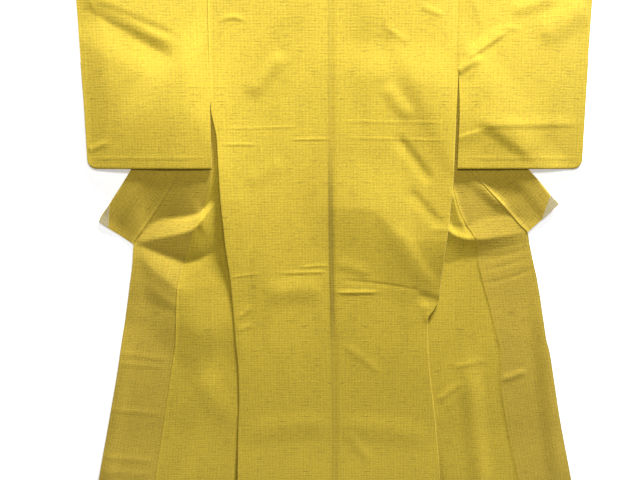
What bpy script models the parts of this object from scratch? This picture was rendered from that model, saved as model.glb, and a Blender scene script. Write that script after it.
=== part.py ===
"""A kimono laid out flat on its front, back side up, with both fronts turned out beside the back.

Every place on the cloth is given by "out", its distance from the centre line, and "drop", its
distance below the shoulder line. Each panel is an open sheet of sections, one section for each
drop, and a Solidify modifier gives it the thickness of the cloth. Metres, Z up.

From the floor up, the layers are the turned-out front (B), the strip of the same front that
stays under the back (A), and the back. Each front folds over along a line that runs from the
neck to the foot of its side seam.
"""
import bisect
import math
from collections import namedtuple

import bmesh
import bpy

COLLECTION = "kimono"

# Cloth
WALL = 0.0012
SEAM_GAP = 0.00045
LAYER = 0.0030             # middle of one layer to the middle of the next
SEWN_LAYER = 0.0016        # the same where two layers are sewn edge to edge
HALF_WALL = WALL / 2
ARC_STEPS = 3              # flats round a fold

# Body
BODY_LENGTH = 1.600        # shoulder to hem
SLEEVE_JOIN = 0.230        # sewn to a sleeve, from the shoulder down
SIDE_OPENING_END = 0.370   # top of the side seam
HEM_TURN = 0.900           # below this the wing sections start to tilt towards the hem
HEM_TURN_POWER = 1.6       # how late the tilt comes
NECK_HALF = 0.090          # centre to the neck point
NECK_DROP = 0.015          # dip of the back neckline at the centre
NECK_BEND = 0.066          # where the collar starts to turn down from the neckline
NECK_STEPS = 3             # stations from the centre to that place
BEND_STEPS = 4             # stations round the turn
NECK_OVERLAP = 0.004       # back panel over the seam edge of the collar
NECK_COVER = 0.0022        # its lift there
FRONT_START = 0.030        # first section of the turned-out front, just below the neck point
OKUMI_TOP = 0.220          # drop of the point where the overlap panel meets the collar
OKUMI_START = 0.240        # its first section, just below that point
COVERED_SHARE = 0.8        # most of a front section's width that can lie under the back

# Collar
COLLAR_FOLDED = 0.055      # width where it is folded double, round the neck
COLLAR_OPEN = 0.107        # width where it lies open, near its ends
COLLAR_CLOTH = 0.110       # whole width of the band
OPENING_FROM = 0.100       # drop where it starts to open
OPENING_TO = 0.450         # drop where it is open
THINNING_FROM = 0.300      # drop where its two layers start to close up
FLAP_INSET = 0.016         # seam to the edge of the folded-under half, at the least
LEVEL_MARGIN = 0.030       # level stretch beyond the edge of the folded-under half
RAMP = 0.030               # length over which the upper layer rises on to that half
RAMP_MARGIN = 0.004        # it ends this far before that half's edge

# Sleeves
SLEEVE_DROP = 0.4935
SLEEVE_CORNER = 0.022
WRIST_OPENING = 0.230

# How far a layer takes to sink past the edge of what it lies on
SKIRT = 0.110
INNER_SKIRT = 0.050
SINK = 0.070
EDGE_MARGIN = 0.025
NECK_SINK = 0.060          # length over which the back sinks below the neckline
FOLD_MARGIN = 0.004        # level stretch of the back past the edge of the strip

# Drops between which the folds of the wings set in, clear of the sleeves
FOLDS_FROM = 0.505
FOLDS_TO = 0.550
# Drops between which the collar's second layer ends as a support
DOUBLE_FROM = 0.520
DOUBLE_TO = 0.570
# Length over which the side seam draws the layers together
SEWING_RUN = 0.040
# Part of a fold's length over which each of its ends fades
FOLD_FADE = 0.25

SQUARE_REACH = 0.040       # stretch of an outline that sets what is square to it

# Columns across each stretch of a section
BACK_COLUMNS = 6
STRIP_COLUMNS = 4
WING_COLUMNS = 3
OKUMI_COLUMNS = 3
LINING_COLUMNS = 2
LINING_ROWS = 4
SLEEVE_COLUMNS = 5
CORNER_COLUMNS = 2

# Rows down a sleeve, beside the wrist opening and beside the closed part below it
WRIST_STEPS = 3
POCKET_STEPS = 4

# Sections: the drop at which each span starts, and its number of even steps
Span = namedtuple("Span", "start steps")
SPANS = (
    Span(0.000, 1), Span(FRONT_START, 3), Span(OKUMI_TOP, 1), Span(OKUMI_START, 4),
    Span(0.440, 3), Span(0.560, 2), Span(0.620, 1), Span(0.660, 1), Span(0.692, 3),
    Span(0.810, 3), Span(0.895, 2), Span(0.985, 7),
)

# Outline of each side, as distances out from the centre line at a drop. "side" is the edge of
# the back, "fold" the line where the front turns over, "seam" the seam between front and
# overlap panel, and "edge" the collar seam down to the collar's end and the free edge below it.
Section = namedtuple("Section", "drop side fold seam edge")
LEFT_SECTIONS = (
    Section(0.000, 0.3130, 0.090, 0.0900, 0.0900),
    Section(0.220, 0.3130, 0.127, 0.2250, 0.2250),
    Section(0.340, 0.3110, 0.147, 0.2620, 0.2980),
    Section(0.420, 0.2980, 0.161, 0.2870, 0.3470),
    Section(0.506, 0.2950, 0.175, 0.3136, 0.4000),
    Section(0.578, 0.2925, 0.195, 0.3324, 0.4465),
    Section(0.650, 0.2875, 0.208, 0.3650, 0.4982),
    Section(0.692, 0.2845, 0.213, 0.3790, 0.5265),
    Section(0.740, 0.2795, 0.218, 0.3945, 0.5318),
    Section(0.800, 0.2730, 0.222, 0.4140, 0.5425),
    Section(0.860, 0.2695, 0.224, 0.4205, 0.5533),
    Section(0.950, 0.2650, 0.225, 0.4265, 0.5710),
    Section(1.040, 0.2590, 0.226, 0.4420, 0.5877),
    Section(1.120, 0.2585, 0.231, 0.4560, 0.6050),
    Section(1.210, 0.2635, 0.243, 0.4720, 0.6250),
    Section(1.366, 0.2680, 0.260, 0.5008, 0.6593),
    Section(1.600, 0.2770, 0.270, 0.5400, 0.7080),
)
RIGHT_SECTIONS = (
    Section(0.000, 0.3095, 0.090, 0.0900, 0.0900),
    Section(0.220, 0.3095, 0.126, 0.2000, 0.2000),
    Section(0.340, 0.3075, 0.146, 0.2400, 0.2620),
    Section(0.420, 0.3060, 0.160, 0.2670, 0.3030),
    Section(0.496, 0.3055, 0.174, 0.2935, 0.3470),
    Section(0.545, 0.3045, 0.183, 0.3100, 0.3960),
    Section(0.600, 0.3000, 0.195, 0.3275, 0.4505),
    Section(0.640, 0.2975, 0.207, 0.3475, 0.4870),
    Section(0.660, 0.2955, 0.213, 0.3620, 0.5070),
    Section(0.692, 0.2920, 0.217, 0.3790, 0.5150),
    Section(0.730, 0.2885, 0.218, 0.3810, 0.5250),
    Section(0.780, 0.2840, 0.219, 0.3933, 0.5390),
    Section(0.838, 0.2800, 0.222, 0.4115, 0.5520),
    Section(0.870, 0.2680, 0.222, 0.4215, 0.5580),
    Section(0.895, 0.2525, 0.222, 0.4290, 0.5630),
    Section(0.955, 0.2542, 0.232, 0.4458, 0.5755),
    Section(0.986, 0.2560, 0.236, 0.4550, 0.5855),
    Section(1.060, 0.2640, 0.243, 0.4570, 0.6015),
    Section(1.170, 0.2799, 0.258, 0.4757, 0.6245),
    Section(1.366, 0.3004, 0.292, 0.5234, 0.6709),
    Section(1.600, 0.3160, 0.309, 0.5700, 0.7200),
)
CENTRE_DROPS = (0.0, 0.55, 1.10, 1.60)
CENTRE_SHIFTS = (-0.006, -0.003, 0.007, 0.012)   # to the right of the centre line

# Side edges of the sleeves
SleeveEdge = namedtuple("SleeveEdge", "drop inner outer")
LEFT_SLEEVE = (
    SleeveEdge(0.000, 0.3134, 0.6380), SleeveEdge(SLEEVE_JOIN, 0.3134, 0.6350),
    SleeveEdge(0.360, 0.3125, 0.6325), SleeveEdge(SLEEVE_DROP, 0.3125, 0.6325),
)
RIGHT_SLEEVE = (
    SleeveEdge(0.000, 0.3099, 0.6345), SleeveEdge(SLEEVE_JOIN, 0.3099, 0.6340),
    SleeveEdge(0.360, 0.3150, 0.6345), SleeveEdge(SLEEVE_DROP, 0.3150, 0.6360),
)

# Folds, each a soft ridge over a bowed line from one place to another
Fold = namedtuple("Fold", "out0 drop0 out1 drop1 bow half_width height")
LEFT_WING_FOLDS = (
    Fold(0.300, 0.585, 0.520, 0.672, 0.000, 0.036, 0.010),
    Fold(0.262, 0.660, 0.545, 0.668, 0.056, 0.034, 0.015),
    Fold(0.335, 0.780, 0.470, 1.560, 0.000, 0.045, 0.004),
    Fold(0.555, 0.900, 0.655, 1.450, 0.000, 0.040, 0.004),
)
RIGHT_WING_FOLDS = (
    Fold(0.262, 0.605, 0.540, 0.610, 0.046, 0.034, 0.014),
    Fold(0.330, 0.700, 0.475, 0.960, 0.020, 0.040, 0.005),
    Fold(0.360, 0.960, 0.440, 1.560, 0.000, 0.042, 0.004),
    Fold(0.540, 0.760, 0.640, 1.420, 0.000, 0.040, 0.004),
)
# Folds of the back, out to the right of the centre line
BACK_FOLDS = (
    Fold(-0.150, 0.775, 0.190, 0.800, -0.012, 0.034, 0.005),
    Fold(0.010, 0.600, 0.200, 0.720, -0.020, 0.055, 0.006),
    Fold(0.170, 0.830, 0.292, 0.842, 0.000, 0.032, 0.008),
    Fold(-0.265, 1.225, 0.000, 1.215, -0.035, 0.048, 0.005),
    Fold(0.010, 1.215, 0.290, 1.235, -0.030, 0.048, 0.005),
    Fold(-0.230, 0.080, -0.090, 0.330, 0.000, 0.045, 0.004),
    Fold(0.120, 0.220, 0.290, 0.520, 0.015, 0.045, 0.005),
)

Side = namedtuple(
    "Side",
    "name sign sections sleeve collar_end seam_rise edge_rise folds lining_along lining_across",
)
LEFT = Side("left", -1, LEFT_SECTIONS, LEFT_SLEEVE, 0.692, 0.042, 0.113, LEFT_WING_FOLDS,
            0.056, 0.029)
RIGHT = Side("right", 1, RIGHT_SECTIONS, RIGHT_SLEEVE, 0.660, 0.060, 0.138, RIGHT_WING_FOLDS,
             0.034, 0.058)
SIDES = (LEFT, RIGHT)

# Colours, linear
CLOTH_COLOUR = (0.60, 0.42, 0.055)
LINING_COLOUR = (0.42, 0.36, 0.24)


def soft(t):
    """Ease from 0 to 1 as t goes from 0 to 1."""
    t = min(max(t, 0.0), 1.0)
    return t * t * (3 - 2 * t)


def mix(a, b, t):
    return a + (b - a) * t


def smooth_value(knots, values, at):
    """Value at a place between knots, on a smooth curve that never overshoots."""
    if at <= knots[0]:
        return values[0]
    if at >= knots[-1]:
        return values[-1]

    def chord(k):
        return (values[k + 1] - values[k]) / (knots[k + 1] - knots[k])

    def slope(k):
        if k == 0:
            return chord(0)
        if k == len(knots) - 1:
            return chord(k - 1)
        before, after = chord(k - 1), chord(k)
        return 0.0 if before * after <= 0 else 2 * before * after / (before + after)

    k = bisect.bisect_right(knots, at) - 1
    step = knots[k + 1] - knots[k]
    t = (at - knots[k]) / step
    return ((2 * t ** 3 - 3 * t ** 2 + 1) * values[k]
            + (t ** 3 - 2 * t ** 2 + t) * step * slope(k)
            + (3 * t ** 2 - 2 * t ** 3) * values[k + 1]
            + (t ** 3 - t ** 2) * step * slope(k + 1))


def read(table, column, drop):
    knots = [row.drop for row in table]
    values = [getattr(row, column) for row in table]
    return smooth_value(knots, values, drop)


def section_drops():
    drops = []
    for n, span in enumerate(SPANS):
        end = SPANS[n + 1].start if n + 1 < len(SPANS) else BODY_LENGTH
        for step in range(span.steps):
            drops.append(mix(span.start, end, step / span.steps))
    drops.append(BODY_LENGTH)
    return drops


DROPS = section_drops()
FRONT_ROW = DROPS.index(FRONT_START)
OKUMI_ROW = DROPS.index(OKUMI_START)


# Plan outline

def centre_out(side, drop):
    shift = smooth_value(CENTRE_DROPS, CENTRE_SHIFTS, drop)
    return side.sign * shift + SEAM_GAP / 2


def hem_tilt(drop):
    """0 down to HEM_TURN, 1 at the hem."""
    return max(0.0, (drop - HEM_TURN) / (BODY_LENGTH - HEM_TURN)) ** HEM_TURN_POWER


def outward(side, column, drop):
    """Unit vector square to an outline curve and to the stretch above it, in (out, drop)."""
    reach = min(SQUARE_REACH, drop)
    slope = (read(side.sections, column, drop) - read(side.sections, column, drop - reach)) / reach
    length = math.hypot(1.0, slope)
    return 1.0 / length, -slope / length


def outline_point(side, column, drop, shift=0.0):
    """A place on an outline curve, moved square to it by shift."""
    out = read(side.sections, column, drop)
    square = outward(side, column, drop)
    return out + square[0] * shift, drop + square[1] * shift


def front_limit(side, drop, shift):
    """Outer end of a front section: the collar seam, and below its top the okumi seam."""
    if drop <= OKUMI_TOP:
        return outline_point(side, "edge", drop, shift)
    return outline_point(side, "seam", drop - side.seam_rise * hem_tilt(drop), shift)


def okumi_limit(side, drop):
    end = drop - side.edge_rise * hem_tilt(drop)
    gap = SEAM_GAP / 2 if drop <= side.collar_end else 0.0
    return outline_point(side, "edge", end, -gap)


def band_width(drop):
    return mix(COLLAR_FOLDED, COLLAR_OPEN,
               soft((drop - OPENING_FROM) / (OPENING_TO - OPENING_FROM)))


def band_gap(drop):
    """Middle to middle of the collar's two layers."""
    return mix(LAYER, SEWN_LAYER, soft((drop - THINNING_FROM) / (OPENING_TO - THINNING_FROM)))


def collar_edge_out(side, drop):
    """How far out the collar's outer edge lies at a drop."""
    knots, values = [], []
    for at in DROPS:
        if FRONT_START <= at <= side.collar_end:
            out, down = outline_point(side, "edge", at, band_width(at))
            knots.append(down)
            values.append(out)
    return smooth_value(knots, values, drop)


# Heights of the middle of each layer

def ridge(fold, out, drop):
    along_out = fold.out1 - fold.out0
    along_drop = fold.drop1 - fold.drop0
    squared = along_out ** 2 + along_drop ** 2
    t = ((out - fold.out0) * along_out + (drop - fold.drop0) * along_drop) / squared
    t = min(max(t, 0.0), 1.0)
    foot_out = fold.out0 + t * along_out
    foot_drop = fold.drop0 + t * along_drop + fold.bow * 4 * t * (1 - t)
    away = math.hypot(out - foot_out, drop - foot_drop)
    taper = soft(min(t, 1 - t) / FOLD_FADE)
    return fold.height * taper * (1 - soft(away / fold.half_width))


def wing_lift(side, out, drop):
    """Rise of the turned-out front off the floor, none above the foot of the sleeves."""
    rise = sum(ridge(fold, out, drop) for fold in side.folds)
    from_fold = soft((out - read(side.sections, "fold", drop)) / INNER_SKIRT)
    return rise * from_fold * soft((drop - FOLDS_FROM) / (FOLDS_TO - FOLDS_FROM))


def over_wing(side, out, drop):
    """Middle of a layer that lies on the wing: the strip A, or the lower layer of a sleeve."""
    beyond = out - collar_edge_out(side, drop) - EDGE_MARGIN
    covered = 1 - soft(beyond / SKIRT)
    before = read(side.sections, "edge", drop) - EDGE_MARGIN - out
    doubled = covered * (1 - soft(before / INNER_SKIRT))
    doubled *= 1 - soft((drop - DOUBLE_FROM) / (DOUBLE_TO - DOUBLE_FROM))
    return (HALF_WALL + LAYER * covered + band_gap(drop) * doubled
            + wing_lift(side, out, drop))


def sewn_in(drop):
    """How much the strip and the back close up at the side seam."""
    return soft((drop - SIDE_OPENING_END) / SEWING_RUN + 1) * (LAYER - SEWN_LAYER) / 2


def back_height(side, out, drop):
    fold = read(side.sections, "fold", drop)
    at_fold = over_wing(side, max(out, fold), drop) + LAYER
    sunk = soft((fold - out - FOLD_MARGIN) / SINK)
    height = mix(at_fold, HALF_WALL, sunk)
    neck = HALF_WALL + NECK_COVER * (1 - soft((drop - NECK_DROP) / NECK_SINK))
    relief = sum(ridge(one, side.sign * out, drop) for one in BACK_FOLDS)
    return max(height, neck) + relief


# Mesh building

def place(side, out, drop, height):
    return side.sign * out, -drop, height


def add_grid(bm, rows):
    """Quads between rows of places. Returns the vertices in rows."""
    verts = [[bm.verts.new(spot) for spot in row] for row in rows]
    join_rows(bm, verts)
    return verts


def join_rows(bm, verts):
    for upper, lower in zip(verts, verts[1:]):
        for n in range(len(upper) - 1):
            bm.faces.new((upper[n], upper[n + 1], lower[n + 1], lower[n]))


def add_turn(bm, uppers, lowers, ways):
    """Round fold between the edges of two layers. ways are unit vectors out of the fold."""
    rows = []
    for upper, lower, way in zip(uppers, lowers, ways):
        middle = (upper.co + lower.co) / 2
        radius = (upper.co.z - lower.co.z) / 2
        row = [upper]
        for step in range(1, ARC_STEPS):
            angle = math.pi * step / ARC_STEPS
            reach = radius * math.sin(angle)
            row.append(bm.verts.new((middle.x + way[0] * reach, middle.y + way[1] * reach,
                                     middle.z + radius * math.cos(angle))))
        row.append(lower)
        rows.append(row)
    join_rows(bm, rows)


def add_part(name, bm, material, thickness=WALL):
    bmesh.ops.recalc_face_normals(bm, faces=bm.faces)
    mesh = bpy.data.meshes.new(name)
    bm.to_mesh(mesh)
    bm.free()
    mesh.shade_smooth()
    mesh.materials.append(material)
    part = bpy.data.objects.new(name, mesh)
    bpy.data.collections[COLLECTION].objects.link(part)
    wall = part.modifiers.new("Cloth", "SOLIDIFY")
    wall.thickness = thickness
    wall.offset = 0.0
    return part


def cloth_material(name, colour, roughness=0.75):
    material = bpy.data.materials.new(name)
    material.use_nodes = True
    shader = material.node_tree.nodes["Principled BSDF"]
    shader.inputs["Base Color"].default_value = (*colour, 1.0)
    shader.inputs["Roughness"].default_value = roughness
    shader.inputs["Metallic"].default_value = 0.0
    return material


# Body panels

def neckline(out):
    return NECK_DROP * math.cos(math.pi / 2 * min(out / NECK_HALF, 1.0)) ** 2


def strip_outs(side, drop):
    """Columns from the fold line to the side edge."""
    fold = read(side.sections, "fold", drop)
    edge = read(side.sections, "side", drop)
    return [mix(fold, edge, n / STRIP_COLUMNS) for n in range(STRIP_COLUMNS + 1)]


def back_rows(side):
    rows = []
    for n, drop in enumerate(DROPS):
        strip = strip_outs(side, drop)
        centre = centre_out(side, drop)
        inner = [mix(centre, strip[0], k / BACK_COLUMNS) for k in range(BACK_COLUMNS)]
        row = []
        for out in inner + strip:
            down = drop
            if n == 0:
                down = max(0.0, neckline(abs(out)) - NECK_OVERLAP)
            height = back_height(side, out, down)
            if out == strip[-1]:
                height -= sewn_in(drop)
            row.append(place(side, out, down, height))
        rows.append(row)
    return rows


def strip_rows(side):
    """Strip A of the front, under the back."""
    rows = []
    for drop in DROPS:
        outs = strip_outs(side, drop)
        heights = [over_wing(side, out, drop) for out in outs]
        heights[-1] += sewn_in(drop)
        rows.append([place(side, out, drop, height) for out, height in zip(outs, heights)])
    return rows


def wing_rows(side):
    """Part B of the front, from the fold line out to the okumi or collar seam."""
    rows = []
    for drop in DROPS[FRONT_ROW:]:
        strip = strip_outs(side, drop)
        limit = front_limit(side, drop, -SEAM_GAP / 2)
        middle = min(strip[-1], mix(strip[0], limit[0], COVERED_SHARE))
        places = [(mix(strip[0], middle, n / STRIP_COLUMNS), drop)
                  for n in range(STRIP_COLUMNS)]
        for n in range(WING_COLUMNS + 1):
            t = n / WING_COLUMNS
            places.append((mix(middle, limit[0], t), mix(drop, limit[1], t)))
        rows.append([place(side, out, down, HALF_WALL + wing_lift(side, out, down))
                     for out, down in places])
    return rows


def make_body(side, material):
    bm = bmesh.new()
    back = add_grid(bm, back_rows(side))
    strip = add_grid(bm, strip_rows(side))
    wing = add_grid(bm, wing_rows(side))
    shoulder = back[0][BACK_COLUMNS:]
    add_turn(bm, shoulder, strip[0], [(0, 1)] * len(shoulder))
    fold = [row[0] for row in strip[FRONT_ROW:]]
    add_turn(bm, fold, [row[0] for row in wing], [(-side.sign, 0)] * len(fold))
    add_part("body_" + side.name, bm, material)


# Overlap panels

def make_okumi(side, material):
    rows = []
    for drop in DROPS[OKUMI_ROW:]:
        inner = front_limit(side, drop, SEAM_GAP / 2)
        outer = okumi_limit(side, drop)
        row = []
        for n in range(OKUMI_COLUMNS + 1):
            t = n / OKUMI_COLUMNS
            out, down = mix(inner[0], outer[0], t), mix(inner[1], outer[1], t)
            row.append(place(side, out, down, HALF_WALL + wing_lift(side, out, down)))
        rows.append(row)
    bm = bmesh.new()
    add_grid(bm, rows)
    add_part("okumi_" + side.name, bm, material)


# Collar

Station = namedtuple("Station", "side out drop square")


def wing_stations(side):
    """Stations down one collar seam, from the neck to the collar's end."""
    stations = []
    for drop in DROPS:
        if FRONT_START <= drop <= side.collar_end:
            out, down = outline_point(side, "edge", drop)
            stations.append(Station(side, out, down, outward(side, "edge", drop)))
    return stations


def neck_stations(side, top):
    """Stations from the centre of the neck, and on a curve round to the first wing station."""
    stations = []
    for n in range(1, NECK_STEPS):
        out = NECK_BEND * n / NECK_STEPS
        stations.append(Station(side, out, neckline(out), (0.0, -1.0)))
    first, corner = (NECK_BEND, neckline(NECK_BEND)), (NECK_HALF, 0.0)
    last = (top.out, top.drop)
    for n in range(BEND_STEPS):
        t = n / BEND_STEPS
        out = (1 - t) ** 2 * first[0] + 2 * t * (1 - t) * corner[0] + t ** 2 * last[0]
        down = (1 - t) ** 2 * first[1] + 2 * t * (1 - t) * corner[1] + t ** 2 * last[1]
        run = mix(corner[0] - first[0], last[0] - corner[0], t)
        fall = mix(corner[1] - first[1], last[1] - corner[1], t)
        length = math.hypot(run, fall)
        stations.append(Station(side, out, down, (fall / length, -run / length)))
    return stations


def collar_places(station):
    """Section of the collar: upper layer out from the seam, and the half folded under it."""
    width = band_width(station.drop)
    gap = band_gap(station.drop)
    flap = min(COLLAR_CLOTH - width, width - FLAP_INSET)
    level = max(width - flap - LEVEL_MARGIN, FLAP_INSET - RAMP_MARGIN)
    ramp = max(level - RAMP, NECK_OVERLAP)
    turn = width - gap / 2
    upper = [0.0, ramp, mix(ramp, level, 0.5), level, mix(level, turn, 0.5), turn]
    lower = [turn, mix(turn, width - flap, 0.5), width - flap]

    def at(reach, height):
        out = station.out + station.square[0] * (reach + SEAM_GAP / 2)
        drop = station.drop + station.square[1] * (reach + SEAM_GAP / 2)
        return place(station.side, out, drop,
                     height + HALF_WALL + wing_lift(station.side, out, drop))

    def rise(reach):
        return gap * soft((reach - ramp) / (level - ramp))

    return ([at(reach, rise(reach)) for reach in upper],
            [at(reach, 0.0) for reach in lower])


def collar_path():
    """Stations from the left collar end over the neck to the right one."""
    left, right = (wing_stations(side) for side in SIDES)
    middle = Station(RIGHT, 0.0, neckline(0.0), (0.0, -1.0))
    return (left[::-1] + neck_stations(LEFT, left[0])[::-1] + [middle]
            + neck_stations(RIGHT, right[0]) + right)


def make_collar(material):
    path = collar_path()
    sections = [collar_places(station) for station in path]
    bm = bmesh.new()
    upper = add_grid(bm, [section[0] for section in sections])
    lower = add_grid(bm, [section[1] for section in sections])
    ways = [(station.side.sign * station.square[0], -station.square[1]) for station in path]
    add_turn(bm, [row[-1] for row in upper], [row[0] for row in lower], ways)
    add_part("collar", bm, material)


def make_lining(side, material):
    """Corner of the collar's lining that shows at its tip, a triangle on the band."""
    end = wing_stations(side)[-1]
    width = band_width(end.drop) - SEWN_LAYER / 2
    rise = HALF_WALL + band_gap(end.drop) + WALL + SEAM_GAP
    rows = []
    for n in range(LINING_ROWS):
        back = side.lining_along * n / LINING_ROWS + SEAM_GAP
        across = side.lining_across * (1 - n / LINING_ROWS)
        row = []
        for k in range(LINING_COLUMNS + 1):
            reach = width - across * (1 - k / LINING_COLUMNS)
            out = end.out + end.square[0] * reach + end.square[1] * back
            drop = end.drop + end.square[1] * reach - end.square[0] * back
            row.append(place(side, out, drop, rise + wing_lift(side, out, drop)))
        rows.append(row)
    bm = bmesh.new()
    add_grid(bm, rows)
    add_part("collar_lining_" + side.name, bm, material)


# Sleeves

def sleeve_columns(side, drop):
    """Columns from the armhole to the wrist, closer together at the rounded corner."""
    inner = read(side.sleeve, "inner", drop)
    outer = read(side.sleeve, "outer", drop)
    start = outer - SLEEVE_CORNER
    columns = [mix(inner, start, n / SLEEVE_COLUMNS) for n in range(SLEEVE_COLUMNS)]
    for n in range(CORNER_COLUMNS + 1):
        columns.append(start + SLEEVE_CORNER * math.sin(math.pi / 2 * n / CORNER_COLUMNS))
    return columns


def sleeve_plan(side):
    """Rows of places from the shoulder fold to the foot of the sleeve."""
    foot_cut = [0.0] * SLEEVE_COLUMNS
    for n in range(CORNER_COLUMNS + 1):
        turned = math.cos(math.pi / 2 * n / CORNER_COLUMNS)
        foot_cut.append(SLEEVE_CORNER * (1 - turned))
    rows = []
    for n in range(WRIST_STEPS):
        drop = WRIST_OPENING * n / WRIST_STEPS
        rows.append([(out, drop) for out in sleeve_columns(side, drop)])
    for n in range(POCKET_STEPS + 1):
        t = n / POCKET_STEPS
        row = []
        for k, cut in enumerate(foot_cut):
            drop = mix(WRIST_OPENING, SLEEVE_DROP - cut, t)
            row.append((sleeve_columns(side, drop)[k], drop))
        rows.append(row)
    return rows


def make_sleeve(side, material):
    """Flat tube, folded at the shoulder and open to the body and at the wrist."""
    plan = sleeve_plan(side)
    lower_rows = [[place(side, out, drop, over_wing(side, out, drop)) for out, drop in row]
                  for row in plan]
    upper_rows = [[(x, y, z + LAYER) for x, y, z in row] for row in lower_rows]
    bm = bmesh.new()
    upper = add_grid(bm, upper_rows)
    lower = add_grid(bm, lower_rows)
    add_turn(bm, upper[0], lower[0], [(0, 1)] * len(upper[0]))
    foot_ways = [(0, -1)] * SLEEVE_COLUMNS
    for n in range(CORNER_COLUMNS + 1):
        angle = math.pi / 2 * n / CORNER_COLUMNS
        foot_ways.append((side.sign * math.sin(angle), -math.cos(angle)))
    rim_upper = upper[-1] + [row[-1] for row in upper[-2:WRIST_STEPS - 1:-1]]
    rim_lower = lower[-1] + [row[-1] for row in lower[-2:WRIST_STEPS - 1:-1]]
    wrist_ways = [(side.sign, 0)] * (len(rim_upper) - len(foot_ways))
    add_turn(bm, rim_upper, rim_lower, foot_ways + wrist_ways)
    add_part("sleeve_" + side.name, bm, material)


# Whole garment

def clear_scene():
    for thing in list(bpy.data.objects):
        bpy.data.objects.remove(thing, do_unlink=True)
    collection = bpy.data.collections.new(COLLECTION)
    bpy.context.scene.collection.children.link(collection)


def centre_on_origin():
    """Move the meshes so that the whole stands on the origin with its middle over it."""
    parts = bpy.data.collections[COLLECTION].objects
    places = []
    bpy.context.view_layer.update()
    depsgraph = bpy.context.evaluated_depsgraph_get()
    for part in parts:
        places.extend(vert.co.copy() for vert in part.evaluated_get(depsgraph).data.vertices)
    middle_x = (min(p.x for p in places) + max(p.x for p in places)) / 2
    middle_y = (min(p.y for p in places) + max(p.y for p in places)) / 2
    for part in parts:
        part.location = (-middle_x, -middle_y, 0.0)


def main():
    clear_scene()
    cloth = cloth_material("woven_silk", CLOTH_COLOUR)
    lining = cloth_material("lining_silk", LINING_COLOUR)
    for side in SIDES:
        make_body(side, cloth)
        make_okumi(side, cloth)
        make_sleeve(side, cloth)
        make_lining(side, lining)
    make_collar(cloth)
    centre_on_origin()


main()
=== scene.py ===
import math
from collections import namedtuple

import bpy
import numpy as np
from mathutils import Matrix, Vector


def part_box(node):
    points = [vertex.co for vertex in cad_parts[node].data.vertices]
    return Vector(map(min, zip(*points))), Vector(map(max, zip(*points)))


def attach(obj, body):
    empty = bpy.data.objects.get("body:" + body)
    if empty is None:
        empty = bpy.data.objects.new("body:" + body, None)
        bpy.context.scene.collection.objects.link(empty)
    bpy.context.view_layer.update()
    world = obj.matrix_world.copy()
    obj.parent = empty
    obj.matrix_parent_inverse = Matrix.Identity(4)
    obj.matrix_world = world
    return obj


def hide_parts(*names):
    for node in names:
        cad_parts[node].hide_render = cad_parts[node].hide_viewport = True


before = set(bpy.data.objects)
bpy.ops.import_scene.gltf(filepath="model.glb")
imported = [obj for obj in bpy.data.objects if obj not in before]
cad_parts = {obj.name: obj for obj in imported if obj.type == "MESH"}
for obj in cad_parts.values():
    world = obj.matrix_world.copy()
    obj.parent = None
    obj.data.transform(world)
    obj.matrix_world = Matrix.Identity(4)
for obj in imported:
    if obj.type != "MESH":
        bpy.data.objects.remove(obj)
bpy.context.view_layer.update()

# A kimono laid out flat, back side up. Places on the cloth are given by "out", the distance
# from the centre line, and "drop", the distance below the shoulder line. Metres, Z up. From
# the floor up, the layers are the turned-out front, here called the wing, the strip of it
# that stays under the back, and the back.

# Cloth
CLOTH = 0.0008
LINING_CLOTH = 0.0006
HALF_WALL = 0.0006         # middle of the lowest layer
LOWEST = 0.0005            # the least that the middle of a layer comes to
LAYER = 0.0018             # middle of one layer to the middle of the next
SEWN_LAYER = 0.0013        # the same where two layers are sewn edge to edge
LEAST_LAYER = 0.0011       # the least that two layers come to
CLOSING = (0.740, 0.940)   # drops between which the layers come to that
ARC_STEPS = 4              # flats round a fold
AT_EDGE = 1e-6             # slack in a test for the last column or row

# Body
BODY_LENGTH = 1.600
SIDE_OPENING_END = 0.370
HEM_TURN = 0.900
HEM_TURN_POWER = 1.6
NECK_HALF = 0.090
NECK_DROP = 0.015
NECK_BEND = 0.066
NECK_OVERLAP = 0.004
NECK_COVER = 0.0022
NECK_SINK = 0.060
FRONT_START = 0.030        # first section of the turned-out front, below the neck point
OKUMI_TOP = 0.220          # drop of the point where the overlap panel meets the collar
OKUMI_START = 0.240
OKUMI_SEAM_RUN = 0.030     # length over which its seam sets in below that point
COVERED_SHARE = 0.8        # most of a front section's width that can lie under the back

# Collar
COLLAR_FOLDED = 0.055      # width where it is folded double, round the neck
COLLAR_OPEN = 0.107        # width where it lies open, near its ends
COLLAR_CLOTH = 0.110       # whole width of the band
OPENING = (0.100, 0.450)   # drops between which it opens
THINNING = (0.300, 0.450)  # drops between which its two layers close up
FLAP_INSET = 0.016         # seam to the edge of the folded-under half, at the least
LEVEL_MARGIN = 0.030       # level stretch beyond that edge
RAMP = 0.030               # length over which the upper layer rises on to that half
RAMP_MARGIN = 0.004

# Sleeves
SLEEVE_DROP = 0.4935
SLEEVE_CORNER = 0.022
WRIST_OPENING = 0.230

# How far a layer takes to sink past the edge of what it lies on
SKIRT = 0.110
INNER_SKIRT = 0.050
SINK = 0.100
EDGE_MARGIN = 0.025
FOLD_MARGIN = 0.004        # level stretch of the back past the edge of the strip

# Drops between which the wings' fine creases and their main folds set in, and between which
# the collar's second layer ends as a support
CREASES_START = (0.505, 0.550)
FOLDS_START = (0.120, 0.400)
DOUBLE_END = (0.520, 0.570)
FOLD_LEAST = 0.004         # least distance between two fold lines
CREASE_FADE = 0.25         # share of a crease's length over which each end fades
SEWING_RUN = 0.040         # length over which the side seam draws the layers together
SQUARE_REACH = 0.040       # stretch of an outline that sets what is square to it
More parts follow.
